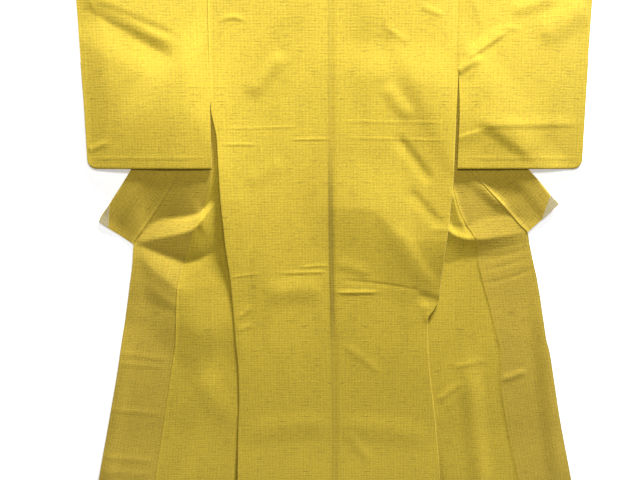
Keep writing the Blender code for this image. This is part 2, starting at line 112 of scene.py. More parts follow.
# Width over which a wing rises from its fold: up to this far before the edge of the back,
# and this wide at the least
RISE_MARGIN = 0.004
RISE_LEAST = 0.030

# Seams: how far one piece goes under the next, and how much the next one rises over it
TUCK = 0.004
SEAM_RISE = 0.0009
SEAM_RUN = 0.005
JOIN_FADE = 0.040          # length over which the sleeve's seam ends

def metres(value):
    return tuple(x / 1000 for x in value) if isinstance(value, tuple) else value / 1000


def rows(kind, *table):
    """Rows of a table that gives all but the sharpness in millimetres."""
    lengths = [field != "sharp" for field in kind._fields]
    return tuple(kind(*(metres(x) if length else x for x, length in zip(row, lengths)))
                 for row in table)


# Outline of each side at a drop, in millimetres out from the centre line: the side edge of
# the back, the fold of the front, the front's seam, and the outer edge
Section = namedtuple("Section", "drop side fold seam edge")
LEFT_SECTIONS = rows(
    Section,
    (0, 313, 90, 90, 90),
    (220, 313, 127, 225, 225),
    (340, 311, 147, 262, 298),
    (420, 298, 161, 287, 347),
    (506, 295, 175, 313.6, 400),
    (578, 292.5, 195, 332.4, 446.5),
    (650, 287.5, 208, 365, 498.2),
    (692, 284.5, 213, 379, 526.5),
    (740, 279.5, 218, 394.5, 531.8),
    (800, 273, 222, 414, 542.5),
    (860, 269.5, 224, 420.5, 553.3),
    (950, 265, 225, 426.5, 571),
    (1040, 259, 226, 442, 587.7),
    (1120, 258.5, 231, 456, 605),
    (1210, 263.5, 243, 472, 625),
    (1366, 268, 260, 500.8, 659.3),
    (1600, 277, 270, 540, 708),
)
RIGHT_SECTIONS = rows(
    Section,
    (0, 309.5, 90, 90, 90),
    (220, 309.5, 126, 200, 200),
    (340, 307.5, 146, 240, 262),
    (420, 306, 160, 267, 303),
    (496, 305.5, 174, 293.5, 347),
    (545, 304.5, 183, 310, 396),
    (600, 300, 195, 327.5, 450.5),
    (640, 297.5, 207, 347.5, 487),
    (660, 295.5, 213, 362, 507),
    (692, 292, 217, 379, 515),
    (730, 288.5, 218, 381, 525),
    (780, 284, 219, 393.3, 539),
    (838, 280, 222, 411.5, 552),
    (870, 268, 222, 421.5, 558),
    (895, 252.5, 222, 429, 563),
    (955, 254.2, 232, 445.8, 575.5),
    (986, 256, 236, 455, 585.5),
    (1060, 264, 243, 457, 601.5),
    (1170, 279.9, 258, 475.7, 624.5),
    (1366, 300.4, 292, 523.4, 670.9),
    (1600, 316, 309, 570, 720),
)
CENTRE_DROPS = (0.0, 0.55, 1.10, 1.60)
CENTRE_SHIFTS = (-0.006, -0.003, 0.007, 0.012)

# The same for the sleeve: the edge at the body, and the wrist
SleeveEdge = namedtuple("SleeveEdge", "drop inner outer")
LEFT_SLEEVE = rows(
    SleeveEdge,
    (0, 313.4, 638),
    (230, 313.4, 635),
    (360, 312.5, 632.5),
    (493.5, 312.5, 632.5),
)
RIGHT_SLEEVE = rows(
    SleeveEdge,
    (0, 309.9, 634.5),
    (230, 309.9, 634),
    (360, 315, 634.5),
    (493.5, 315, 636),
)

# Creases, each over a bowed line from one place to another, from the centre outwards or from
# left to right. "bow" is how far its middle lies towards the hem, "above" and "below" are
# its half widths towards the shoulder and the hem, "sharp" goes from 0 for a round crest to 1
# for a creased one, and a trough has a height below 0.
Crease = namedtuple("Crease", "out0 drop0 out1 drop1 bow above below height sharp")
LEFT_WING_CREASES = rows(
    Crease,
    (286, 572, 360, 600, 0, 66, 70, -1, 0),
    (290, 606, 362, 646, 0, 60, 74, 0.9, 0),
    (200, 1430, 760, 1430, 0, 230, 120, 4.4, 0),
    (315, 960, 480, 1560, 0, 50, 50, 3, 0),
    (555, 900, 655, 1450, 0, 40, 40, 3, 0),
    (290, 1200, 420, 950, 0, 50, 50, 0.8, 0),
    (440, 1012, 590, 990, 0, 14, 12, 0.4, 0.4),
    (445, 1034, 600, 1018, 0, 10, 10, 0.4, 0.4),
    (470, 1168, 630, 1152, 0, 14, 14, 0.4, 0.4),
    (490, 1310, 650, 1292, 0, 16, 14, 0.4, 0.3),
    (500, 1350, 660, 1336, 0, 12, 12, 0.6, 0.3),
)
RIGHT_WING_CREASES = rows(
    Crease,
    (200, 1430, 760, 1430, 0, 230, 120, 3.8, 0),
    (316, 480, 462, 610, 2, 20, 26, 2.2, 0.2),
    (346, 490, 500, 572, 4, 34, 50, -1.4, 0.1),
    (298, 535, 344, 662, 4, 14, 26, 2.4, 0.2),
    (376, 712, 520, 680, 3, 10, 10, -0.3, 0.4),
    (380, 738, 528, 698, 3, 10, 10, -0.3, 0.4),
    (386, 765, 534, 720, 4, 10, 12, -0.3, 0.4),
    (392, 801, 540, 752, 6, 12, 12, -0.4, 0.4),
    (318, 1034, 425, 1008, 0, 14, 12, 0.6, 0.2),
    (280, 1136, 360, 1070, 0, 16, 12, 0.8, 0.2),
    (310, 1160, 360, 1086, 0, 14, 12, 0.5, 0.2),
    (455, 1070, 530, 1040, 0, 14, 18, 1.1, 0.3),
    (540, 760, 640, 1420, 0, 40, 40, 3, 0),
    (360, 960, 440, 1560, 0, 42, 42, 3, 0),
)
# Creases of the back, out to the right of the centre line
BACK_CREASES = rows(
    Crease,
    (-450, 1430, 450, 1430, 0, 230, 120, 5.4, 0),
    (-285, 133, -218, 133, -10, 12, 10, 0.8, 0.3),
    (-218, 318, -124, 202, 0, 34, 30, 2, 0.1),
    (-230, 535, -124, 474, 0, 34, 34, 0.8, 0),
    (124, 280, 202, 372, 8, 28, 28, 1.6, 0.1),
    (120, 140, 186, 188, 0, 14, 12, 0.7, 0.2),
    (208, 96, 272, 120, 0, 14, 12, 0.7, 0.2),
    (150, 400, 256, 538, -4, 18, 30, -1.7, 0.2),
    (188, 540, 282, 646, 0, 18, 30, -1.3, 0.2),
    # the let-out tuck
    (-295, 395, -70, 387, 0, 8, 6, 0.3, 0.6),
    (-4, 374, 306, 379, 0, 6, 8, 0.25, 0.6),
    (-295, 433, -190, 434, 0, 8, 5, 0.5, 0.6),
    (-120, 421, -4, 419, 0, 8, 5, 0.5, 0.6),
    (6, 416, 306, 424, 0, 8, 5, 0.3, 0.6),
    # the lower back
    (-276, 781, -195, 769, 0, 8, 6, 0.4, 0.6),
    (-150, 770, -10, 766, 0, 10, 8, 0.6, 0.5),
    (-95, 757, -6, 750, -4, 8, 8, 0.5, 0.5),
    (-190, 826, -26, 812, -4, 44, 50, 1.4, 0.1),
    (0, 742, 100, 774, -4, 28, 22, 0.6, 0.2),
    (4, 787, 245, 818, -6, 6, 14, -0.4, 0.5),
    (-2, 822, 128, 820, 0, 10, 10, 1, 0.4),
    (214, 822, 306, 856, 0, 20, 30, -1, 0.4),
    (238, 846, 256, 910, 0, 26, 20, 0.9, 0.2),
    (146, 630, 270, 820, 0, 26, 46, 1, 0),
    (20, 966, 134, 1056, -8, 18, 18, 0.6, 0.2),
    (-268, 1232, 10, 1196, -12, 50, 60, 1, 0.1),
    (-4, 1200, 290, 1240, -10, 50, 60, 1, 0.1),
    (36, 1218, 108, 1312, 0, 22, 22, 0.5, 0),
    (-262, 896, -214, 858, 0, 12, 10, 0.8, 0.3),
    (-262, 928, -212, 908, 0, 10, 10, 0.7, 0.3),
)
LEFT_SLEEVE_CREASES = rows(
    Crease,
    (384, 234, 640, 88, 3, 38, 80, -4.2, 0.3),
    (380, 172, 610, 78, 4, 18, 24, -1.2, 0.3),
    (300, 467, 650, 467, 0, 6, 6, 0.4, 0.6),
    (570, 425, 640, 452, 0, 14, 14, 0.8, 0.3),
)
RIGHT_SLEEVE_CREASES = rows(
    Crease,
    (320, 227, 434, 150, 3, 34, 9, 1.6, 0.5),
    (296, 262, 366, 216, 0, 26, 16, 1.8, 0.3),
    (328, 276, 370, 214, 0, 12, 12, 0.6, 0.3),
    (412, 146, 464, 152, 0, 14, 12, 0.5, 0.3),
    (425, 112, 556, 72, 0, 30, 26, 1.2, 0.1),
    (500, 176, 632, 90, 0, 50, 50, 1.8, 0),
    (340, 386, 640, 382, 0, 30, 14, 0.9, 0.5),
    (346, 350, 520, 470, 0, 60, 30, 1.8, 0.1),
    (306, 467, 650, 467, 0, 6, 6, 0.4, 0.6),
    (300, 420, 392, 390, 0, 8, 30, 0.8, 0.6),
)

# Main folds: lines across the garment, one after another towards the hem, with the height of
# the cloth along each. "sharp" goes from 0 where the cloth is level at the line to 1 where it
# is creased there.
Line = namedtuple("Line", "outs drops heights sharp")
LEFT_WING_LINES = rows(
    Line,
    ((280, 340, 400, 460, 520, 570, 620), (485,) * 7, (9.8, 11.2, 12.2, 11.4, 9.4, 6.6, 3.2), 0),
    ((301, 312, 328, 342, 352, 376, 402, 429, 455, 482, 512, 560, 620),
     (558, 569, 587, 600, 610, 616, 620, 622, 626, 642, 672, 640, 600),
     (7.4, 7.2, 6.2, 5, 4.2, 2.8, 1.6, 0.8, 0.6, 1, 2.4, 1.4, 0.6), 0.8),
    ((305, 324, 343, 362, 378, 404, 431, 457, 502, 516, 560, 620),
     (580, 603, 627, 647, 655, 663, 669, 674, 683, 686, 690, 690),
     (9, 10.4, 11.6, 11.4, 10.4, 8.8, 7.2, 5.8, 3.6, 2.6, 0, 0), 0.5),
    ((290, 322, 354, 391, 420, 459, 518), (700, 716, 731, 741, 731, 717, 692),
     (0.6, 0.4, 0.2, 0.2, 0.6, 1, 2.4), 0.7),
    ((290, 328, 368, 396, 410, 440, 474, 507), (742, 756, 770, 804, 812, 788, 762, 726),
     (1.6, 1.8, 2.4, 4.4, 5.4, 6, 5, 3.2), 0.3),
    ((290, 316, 356, 386, 420, 460, 507), (812, 812, 812, 825, 845, 822, 785),
     (3, 3, 3.4, 4.6, 5, 4.6, 2.2), 0.1),
    ((290, 334, 373, 403, 440, 500), (900, 925, 915, 890, 880, 860), (3.4, 4.4, 4.8, 4.4, 3, 0.8),
     0.1),
    ((280, 360, 425, 467, 531, 560), (1040, 1060, 1020, 980, 920, 900), (0,) * 6, 0),
)
RIGHT_WING_LINES = rows(
    Line,
    ((280, 330, 370, 420, 480, 540, 600), (485,) * 7, (6.6, 6.6, 6.4, 7.4, 8, 6.8, 2.4), 0),
    ((296, 317, 347, 375, 435, 505), (633, 646, 646, 628, 614, 628), (5, 4.6, 3.8, 3.4, 3, 2.4),
     0.5),
    ((297, 318, 358, 384, 437, 507), (651, 667, 677, 677, 670, 657), (7.8, 7.8, 7, 6.6, 5.4, 2.8),
     0.8),
    ((308, 339, 373, 439, 517), (742, 731, 725, 718, 702), (0.2, 0.2, 0.6, 1.2, 1.6), 0.4),
    ((280, 430, 530), (860,) * 3, (0,) * 3, 0),
)
BACK_LINES = rows(
    Line,
    ((0, 300), (170, 170), (0, 0), 0),
    ((-50, 20, 100, 200, 260, 310), (270, 270, 270, 290, 300, 300), (0, 1.2, 4, 4.4, 3, 1), 0),
    ((-60, 0, 100, 200, 310), (440, 440, 450, 470, 510), (0, 1.4, 4.4, 3, 0.6), 0),
    ((-80, -30, 16, 68, 99, 126, 152, 179, 213, 279, 310),
     (588, 590, 594, 597, 601, 622, 651, 671, 682, 679, 679),
     (0, 2, 5.6, 8, 8.8, 8.8, 8.4, 7.6, 6.2, 4.8, 4), 0.4),
    ((-50, 0, 60, 123, 204, 276), (760, 770, 790, 830, 860, 875), (0, 0.8, 2.2, 2.6, 2.2, 0.8),
     0.2),
    ((-50, 300), (1160, 1160), (0, 0), 0),
)

# "billow" gives some drops and how far the back and the strip stand up there along the side
# edge of the back, and "puff" the same for the upper layer of the sleeve. "dip" is the depth
# and the width of the dip at the centre seam. "collar_end" and "join_end" are the drops where
# the collar and the sleeve's seam end, and "seam_rise" and "edge_rise" are how far the hem
# slants up at the front's seam and at its edge.
Side = namedtuple(
    "Side",
    "name sign sections sleeve lines creases sleeve_creases collar_end seam_rise edge_rise "
    "lining_along lining_across join_end billow puff dip",
)
PUFF_DROPS = (0.0, 0.08, 0.20, 0.360, 0.385, 0.464, SLEEVE_DROP)
LEFT = Side(
    "left", -1, LEFT_SECTIONS, LEFT_SLEEVE, LEFT_WING_LINES, LEFT_WING_CREASES,
    LEFT_SLEEVE_CREASES,
    collar_end=0.692, seam_rise=0.042, edge_rise=0.113,
    lining_along=0.056, lining_across=0.029, join_end=0.300,
    billow=((0.12, 0.24, 0.40, 0.50, 0.56, 0.62, 0.68, 0.74, 0.80, 0.90, 1.00),
            (0.0, 0.0030, 0.0108, 0.0136, 0.0136, 0.0122, 0.0096, 0.0066, 0.0042, 0.0016,
             0.0004)),
    puff=(PUFF_DROPS, (0.0, 0.0040, 0.0052, 0.0026, 0.0022, 0.0010, 0.0004)),
    dip=(0.0003, 0.003),
)
RIGHT = Side(
    "right", 1, RIGHT_SECTIONS, RIGHT_SLEEVE, RIGHT_WING_LINES, RIGHT_WING_CREASES,
    RIGHT_SLEEVE_CREASES,
    collar_end=0.660, seam_rise=0.060, edge_rise=0.138,
    lining_along=0.034, lining_across=0.058, join_end=0.235,
    billow=((0.36, 0.48, 0.58, 0.67, 0.80, 0.88, 0.95, 1.04),
            (0.0, 0.0060, 0.0080, 0.0076, 0.0022, 0.0010, 0.0006, 0.0004)),
    puff=(PUFF_DROPS, (0.0, 0.0038, 0.0050, 0.0028, 0.0026, 0.0006, 0.0003)),
    dip=(0.0012, 0.007),
)
SIDES = (LEFT, RIGHT)

# Air under the cloth
BACK_AIR = 0.0020          # under the back, off the floor
HEM_CALM = (1.480, 1.580)  # drops between which it ends, so that the hem lies flat
BILLOW_REACH = 0.150       # how far in from the back's edge it stands up
BILLOW_POWER = 1.6
STRIP_REACH = 0.050        # how far in the strip follows the creases of the back
MEETING = 0.002            # how softly the higher of two heights takes over
# Over the collar and the wing, near the feet of the sleeves: its height, and the four places
# where it starts, is whole, starts to end and ends
OVER_SWELL = 0.0010
SWELL_OUTS = (0.240, 0.310, 0.450, 0.600)
SWELL_DROPS = (0.210, 0.380, 0.500, 0.590)

# Place of the centre line and of the shoulder line
SHIFT_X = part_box("sleeve_left")[0].x + LEFT_SLEEVE[0].outer
SHOULDER_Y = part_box("body_left")[0].y + BODY_LENGTH


def soft(t):
    """Ease from 0 to 1 as t goes from 0 to 1."""
    t = np.clip(t, 0.0, 1.0)
    return t * t * (3 - 2 * t)


def onset(at, start, end):
    """Ease from 0 to 1 as at goes from start to end."""
    return soft((at - start) / (end - start))


def hump(at, start, whole, ebb, end):
    return onset(at, start, whole) * (1 - onset(at, ebb, end))


def mix(a, b, t):
    return a + (b - a) * t


def cubic(t, start, end, start_slope, end_slope):
    """Goes from start to end with these slopes there, as t goes from 0 to 1."""
    return ((2 * t ** 3 - 3 * t ** 2 + 1) * start + (t ** 3 - 2 * t ** 2 + t) * start_slope
            + (3 * t ** 2 - 2 * t ** 3) * end + (t ** 3 - t ** 2) * end_slope)


class Curve:
    """Smooth curve through knots that never overshoots, level beyond its ends."""

    def __init__(self, knots, values):
        self.knots = np.array(knots, float)
        self.values = np.array(values, float)
        chord = np.diff(self.values) / np.diff(self.knots)
        before, after = chord[:-1], chord[1:]
        same = before * after > 0
        inner = np.where(same, 2 * before * after / np.where(same, before + after, 1.0), 0.0)
        self.slopes = np.concatenate((chord[:1], inner, chord[-1:]))

    def __call__(self, at):
        k = np.clip(np.searchsorted(self.knots, at, side="right") - 1, 0, len(self.knots) - 2)
        step = self.knots[k + 1] - self.knots[k]
        t = np.clip((at - self.knots[k]) / step, 0.0, 1.0)
        return cubic(t, self.values[k], self.values[k + 1],
                     step * self.slopes[k], step * self.slopes[k + 1])


def table_curves(table):
    knots = [row.drop for row in table]
    return {column: Curve(knots, [getattr(row, column) for row in table])
            for column in table[0]._fields[1:]}


OUTLINE = {side.name: {**table_curves(side.sections), **table_curves(side.sleeve)}
           for side in SIDES}
CENTRE = Curve(CENTRE_DROPS, CENTRE_SHIFTS)


def read(side, column, drop):
    return OUTLINE[side.name][column](drop)


# Plan outline

def hem_tilt(drop):
    """0 down to HEM_TURN, 1 at the hem."""
    return np.maximum(0.0, (drop - HEM_TURN) / (BODY_LENGTH - HEM_TURN)) ** HEM_TURN_POWER


def outward(side, column, drop):
    """Unit vector square to an outline curve and to the stretch above it, in (out, drop)."""
    reach = np.minimum(SQUARE_REACH, drop)
    slope = (read(side, column, drop) - read(side, column, drop - reach)) / reach
    length = np.hypot(1.0, slope)
    return 1.0 / length, -slope / length


def outline_point(side, column, drop, shift=0.0):
    square = outward(side, column, drop)
    return read(side, column, drop) + square[0] * shift, drop + square[1] * shift


def front_limit(side, drop, shift):
    """Outer end of a front section: the collar seam, and below its top the okumi seam."""
    upper = outline_point(side, "edge", drop, shift)
    lower = outline_point(side, "seam", drop - side.seam_rise * hem_tilt(drop), shift)
    return [np.where(drop <= OKUMI_TOP, a, b) for a, b in zip(upper, lower)]


def band_width(drop):
    return mix(COLLAR_FOLDED, COLLAR_OPEN, onset(drop, *OPENING))


def layer_at(drop):
    """Middle to middle of two layers, which lie closer together towards the hem."""
    return mix(LAYER, LEAST_LAYER, onset(drop, *CLOSING))


def band_gap(drop):
    """Middle to middle of the collar's two layers."""
    return mix(LAYER, SEWN_LAYER, onset(drop, *THINNING))


EDGE_STEP = 0.03           # between two knots of the collar's outer edge


def collar_edge_curve(side):
    at = np.arange(FRONT_START, side.collar_end, EDGE_STEP)
    out, down = outline_point(side, "edge", at, band_width(at))
    return Curve(down, out)


COLLAR_EDGE = {side.name: collar_edge_curve(side) for side in SIDES}


# Heights of the middle of each layer

def crease_height(crease, out, drop):
    along_out = crease.out1 - crease.out0
    along_drop = crease.drop1 - crease.drop0
    squared = along_out ** 2 + along_drop ** 2
    t = ((out - crease.out0) * along_out + (drop - crease.drop0) * along_drop) / squared
    t = np.clip(t, 0.0, 1.0)
    foot_out = crease.out0 + t * along_out
    foot_drop = crease.drop0 + t * along_drop + crease.bow * 4 * t * (1 - t)
    side_of = (drop - foot_drop) * along_out - (out - foot_out) * along_drop
    away = np.hypot(out - foot_out, drop - foot_drop)
    away = np.clip(away / np.where(side_of > 0, crease.below, crease.above), 0.0, 1.0)
    taper = soft(np.minimum(t, 1 - t) / CREASE_FADE)
    return crease.height * taper * mix(1 - soft(away), (1 - away) ** 2, crease.sharp)


def relief(creases, out, drop):
    total = np.zeros(np.broadcast(out, drop).shape)
    for crease in creases:
        total += crease_height(crease, out, drop)
    return total


def fold_height(lines, out, drop):
    """Height that goes from each line of the main folds to the next."""
    places = [Curve(line.outs, line.drops)(out) for line in lines]
    heights = [Curve(line.outs, line.heights)(out) for line in lines]
    total = heights[0] + 0.0 * drop
    for n in range(len(lines) - 1):
        t = (drop - places[n]) / np.maximum(places[n + 1] - places[n], FOLD_LEAST)
        t = np.clip(t, 0.0, 1.0)
        ease = cubic(t, 0.0, 1.0, 2 * lines[n].sharp, 2 * lines[n + 1].sharp)
        total = np.where(drop > places[n], mix(heights[n], heights[n + 1], ease), total)
    return total


def back_relief(side, out, drop):
    x = side.sign * out
    return relief(BACK_CREASES, x, drop) + fold_height(BACK_LINES, x, drop)


def wing_lift(side, out, drop):
    """Rise of the turned-out front off the floor."""
    fold = read(side, "fold", drop)
    hidden = np.maximum(read(side, "side", drop) - fold - RISE_MARGIN, RISE_LEAST)
    fine = relief(side.creases, out, drop) * onset(drop, *CREASES_START)
    main = fold_height(side.lines, out, drop) * onset(drop, *FOLDS_START)
    return np.maximum((fine + main) * soft((out - fold) / hidden), 0.0)


def over_both(a, b):
    """The higher of two heights, eased where they meet."""
    return (a + b + np.sqrt((a - b) ** 2 + MEETING ** 2) - MEETING) / 2


def billow(side, out, drop):
    """How far the back and the strip stand up along the side edge of the back."""
    across = np.clip((out - read(side, "side", drop)) / BILLOW_REACH + 1, 0.0, 1.0)
    return across ** BILLOW_POWER * Curve(*side.billow)(drop)


def over_swell(out, drop):
    return OVER_SWELL * hump(out, *SWELL_OUTS) * hump(drop, *SWELL_DROPS)


def over_wing(side, out, drop, lift):
    """Middle of a layer that lies on the wing: the strip, or the lower layer of a sleeve."""
    beyond = out - COLLAR_EDGE[side.name](drop) - EDGE_MARGIN
    covered = 1 - soft(beyond / SKIRT)
    before = read(side, "edge", drop) - EDGE_MARGIN - out
    doubled = covered * (1 - soft(before / INNER_SKIRT))
    doubled = doubled * (1 - onset(drop, *DOUBLE_END))
    return (HALF_WALL + layer_at(drop) * covered + band_gap(drop) * doubled + lift
            + over_swell(out, drop))


def under_back(side, out, drop):
    """Middle of the strip, which stands up from the wing's folds."""
    lift = over_both(wing_lift(side, out, drop), billow(side, out, drop))
    return over_wing(side, out, drop, lift)


def sewn_in(side, out, drop):
    """How far the side seam draws the last column of each layer towards the other."""
    drawn = onset(drop, SIDE_OPENING_END - SEWING_RUN, SIDE_OPENING_END)
    at_edge = out >= read(side, "side", drop) - AT_EDGE
    return np.where(at_edge, drawn * (LAYER - SEWN_LAYER) / 2, 0.0)


def sleeve_seam(side, drop):
    """1 along the sleeve's seam, and 0 below it."""
    return 1 - onset(drop, side.join_end, side.join_end + JOIN_FADE)


def join_rise(side, out, drop):
    """Rise of the body's edge over the edge of the sleeve that is sewn under it."""
    at_edge = soft((out - read(side, "side", drop)) / SEAM_RUN + 1)
    return SEAM_RISE * at_edge * sleeve_seam(side, drop)


def strip_height(side, out, drop):
    with_back = soft((out - read(side, "side", drop)) / STRIP_REACH + 1)
    raised = np.maximum(back_relief(side, out, drop), 0.0)
    return (under_back(side, out, drop) + with_back * raised + join_rise(side, out, drop)
            + sewn_in(side, out, drop))


def back_height(side, out, drop):
    fold = read(side, "fold", drop)
    under = under_back(side, np.maximum(out, fold), drop)
    sunk = soft((fold - out - FOLD_MARGIN) / SINK)
    air = BACK_AIR * (1 - onset(drop, *HEM_CALM))
    height = mix(under + layer_at(drop), HALF_WALL + air, sunk)
    support = mix(under + LEAST_LAYER, HALF_WALL, sunk)
    height = height + back_relief(side, out, drop)
    neck = HALF_WALL + NECK_COVER * (1 - soft((drop - NECK_DROP) / NECK_SINK))
    height = np.maximum(np.maximum(height, neck), support)
    return height + join_rise(side, out, drop) - sewn_in(side, out, drop)


# Meshes

# Spans down the garment, with the number of steps in each, closer where creases are fine
SPAN_STARTS = (0.000, 0.030, 0.110, 0.140, 0.370, 0.442, 0.742, 0.832, 1.190, 1.254, 1.370)
SPAN_STEPS = (6, 16, 10, 42, 36, 60, 36, 60, 16, 18, 20)


def shares(count, closed=False):
    """Even shares of 1 from 0 on, and 1 itself too if closed."""
    return np.arange(count + closed) / count


def garment_drops():
    ends = (*SPAN_STARTS[1:], BODY_LENGTH)
    spans = zip(SPAN_STARTS, ends, SPAN_STEPS)
    return np.concatenate([mix(start, end, shares(n)) for start, end, n in spans]
                          + [[BODY_LENGTH]])


DROPS = garment_drops()
FRONT_ROW, OKUMI_ROW, SEAM_ROW = np.searchsorted(
    DROPS, np.array((FRONT_START, OKUMI_START, SIDE_OPENING_END)) - AT_EDGE)

MAP_MARGIN = 0.01          # left free round a piece's layout


def grid_of(*values):
    return np.stack(np.broadcast_arrays(*values), axis=-1)


class Piece:
    """A mesh put together from grids of places. Each corner of a face has two map places:
    the grain of the cloth, in metres, and a place of its own on the piece's layout."""

    def __init__(self, name):
        self.name = name
        self.spots, self.faces, self.grains, self.layouts = [], [], [], []
        self.count = 0
        self.dense = None

    def add_spots(self, *places):
        spots = grid_of(*places)
        ids = self.count + np.arange(spots.size // 3).reshape(spots.shape[:-1])
        self.spots.append(spots.reshape(-1, 3))
        self.count += ids.size
        return ids

    def add_faces(self, ids, grain, layout, flip=False):
        def corners(table, width):
            ring = [table[:-1, :-1], table[:-1, 1:], table[1:, 1:], table[1:, :-1]]
            return np.stack(ring[::-1] if flip else ring, axis=2).reshape(-1, width)
        self.faces.append(corners(ids, 4))
        self.grains.append(corners(grain, 2))
        self.layouts.append(corners(layout, 2))

    def add_grid(self, sign, out, drop, height, grain, place=(0.0, 0.0), flip=False):
        ids = self.add_spots(sign * out + SHIFT_X, SHOULDER_Y - drop,
                             np.maximum(height, LOWEST))
        layout = grain + np.array(place)
        self.add_faces(ids, grain, layout, flip)
        return ids, grain, layout

    def add_turn(self, upper, lower, way, along, flip=False):
        """Round fold from upper, one line of a grid, to the line of vertices lower. way is
        the plan direction out of the fold, and along the map direction of the turn."""
        upper, grain, layout = upper
        spots = np.concatenate(self.spots)
        x, y, z = ((spots[upper] + spots[lower]) / 2).T
        radius = (spots[upper, 2] - spots[lower, 2]) / 2
        columns, reach = [upper], [np.zeros(len(upper))]
        for step in range(1, ARC_STEPS):
            angle = math.pi * step / ARC_STEPS
            offset = radius * math.sin(angle)
            columns.append(self.add_spots(x + way[0] * offset, y + way[1] * offset,
                                          z + radius * math.cos(angle)))
            reach.append(radius * angle)
        columns.append(lower)
        reach.append(radius * math.pi)
        shift = np.stack(reach, axis=1)[:, :, None] * np.array(along)
        self.add_faces(np.stack(columns, axis=1), grain[:, None, :] + shift,
                       layout[:, None, :] + shift, flip)

    def build(self, material, thickness, node):
        spots = np.concatenate(self.spots)
        faces = np.concatenate(self.faces)
        mesh = bpy.data.meshes.new(self.name)
        mesh.vertices.add(len(spots))
        mesh.vertices.foreach_set("co", spots.astype(np.float32).ravel())
        mesh.loops.add(faces.size)
        mesh.loops.foreach_set("vertex_index", faces.astype(np.int32).ravel())
        mesh.polygons.add(len(faces))
        mesh.polygons.foreach_set("loop_start", np.arange(0, faces.size, 4, dtype=np.int32))
        mesh.polygons.foreach_set("use_smooth", np.ones(len(faces), bool))
        mesh.update(calc_edges=True)
        mesh.validate()
        on_edges = np.empty(faces.size, np.int32)
        mesh.loops.foreach_get("edge_index", on_edges)
        rims = mesh.attributes.new("sharp_edge", "BOOLEAN", "EDGE")
        rims.data.foreach_set("value", np.bincount(on_edges, minlength=len(mesh.edges)) == 1)
        layouts = np.concatenate(self.layouts)
        layouts = layouts - layouts.min(axis=0)
        scale = (1 - 2 * MAP_MARGIN) / layouts.max()
        for name, table in (("grain", np.concatenate(self.grains)),
                            ("OFBake", layouts * scale + MAP_MARGIN)):
            layer = mesh.uv_layers.new(name=name)
            layer.data.foreach_set("uv", table.astype(np.float32).ravel())
        if self.dense is not None:
            values = np.zeros(len(spots), np.float32)
            values[:self.dense.size] = self.dense.ravel()
            mesh.attributes.new("dense", "FLOAT", "POINT").data.foreach_set("value", values)
        mesh.materials.append(material)
        thing = add_object(self.name, mesh)
        wall = thing.modifiers.new("Cloth", "SOLIDIFY")
        wall.thickness = thickness
        wall.offset = 0.0
        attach(thing, "root")
        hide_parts(node)
        return thing


def add_object(name, data):
    thing = bpy.data.objects.new(name, data)
    bpy.context.scene.collection.objects.link(thing)
    return thing


def line_of(grid, place):
    return [table[place] for table in grid]


# Body panels

CENTRE_COLUMNS = 18
STRIP_COLUMNS = 38
HIDDEN_COLUMNS = 10
WING_COLUMNS = 33
CENTRE_TUCK = 0.002
SEAM_COLUMNS = (0.0, 0.007, 0.0108)    # beside the centre seam, for its dip
SEAM_GAP = 0.0045          # from the last of them to the first even column
FOLD_PAST_NECK = 0.006     # from the neck point to the front's fold, along the weft
STRIP_PLACE = (0.36, -BODY_LENGTH)     # on the piece's layout
WING_PLACE = (1.00, -BODY_LENGTH)
# The back's seam allowance, which shows through to the left of the centre seam: its width,
# how softly it ends, the drops where it is plain, and how faint it is elsewhere
SEAM_BAND = 0.013
BAND_EASE = 0.004
BAND_DROPS = (0.40, 0.60, 0.86, 0.98)
BAND_LEAST = 0.35
# Columns across the back, closer together at the side seam
STRIP_SHARES = np.concatenate((np.linspace(0.0, 0.96, STRIP_COLUMNS - 3),
                               (0.976, 0.988, 0.996, 1.0)))


def neckline(out):
    share = np.minimum(np.abs(out) / NECK_HALF, 1.0)
    return NECK_DROP * np.cos(math.pi / 2 * share) ** 2


